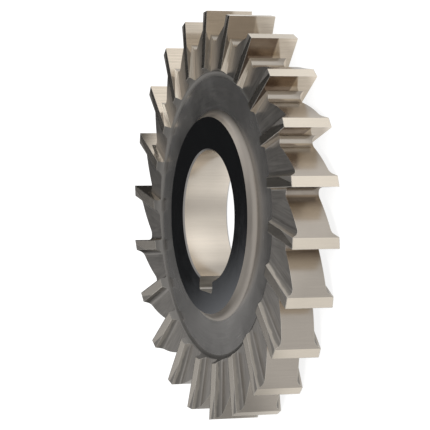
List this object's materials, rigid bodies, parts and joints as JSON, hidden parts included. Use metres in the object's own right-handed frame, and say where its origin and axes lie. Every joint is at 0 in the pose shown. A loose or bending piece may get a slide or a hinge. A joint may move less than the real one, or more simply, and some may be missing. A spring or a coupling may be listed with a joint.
{
  "type": "side and face cutter",
  "caption": "Disc milling cutter with straight teeth on its rim and both sides, recessed webs, a raised hub and a keyed bore.",
  "frame": {"origin": "on the bore's axis, in the plane of the lower side, which the cutter rests on", "axes": "+Z along the bore's axis, up out of the side that shows in the picture, and -Y towards the keyway"},
  "size_m": [0.0998, 0.0996, 0.012],
  "materials": {
    "high_speed_steel": "ground teeth, hub and bore, with a darker oiled finish in the recesses and gullets"
  },
  "bodies": {
    "root": {"cutter": "high_speed_steel"}
  },
  "joints": []
}
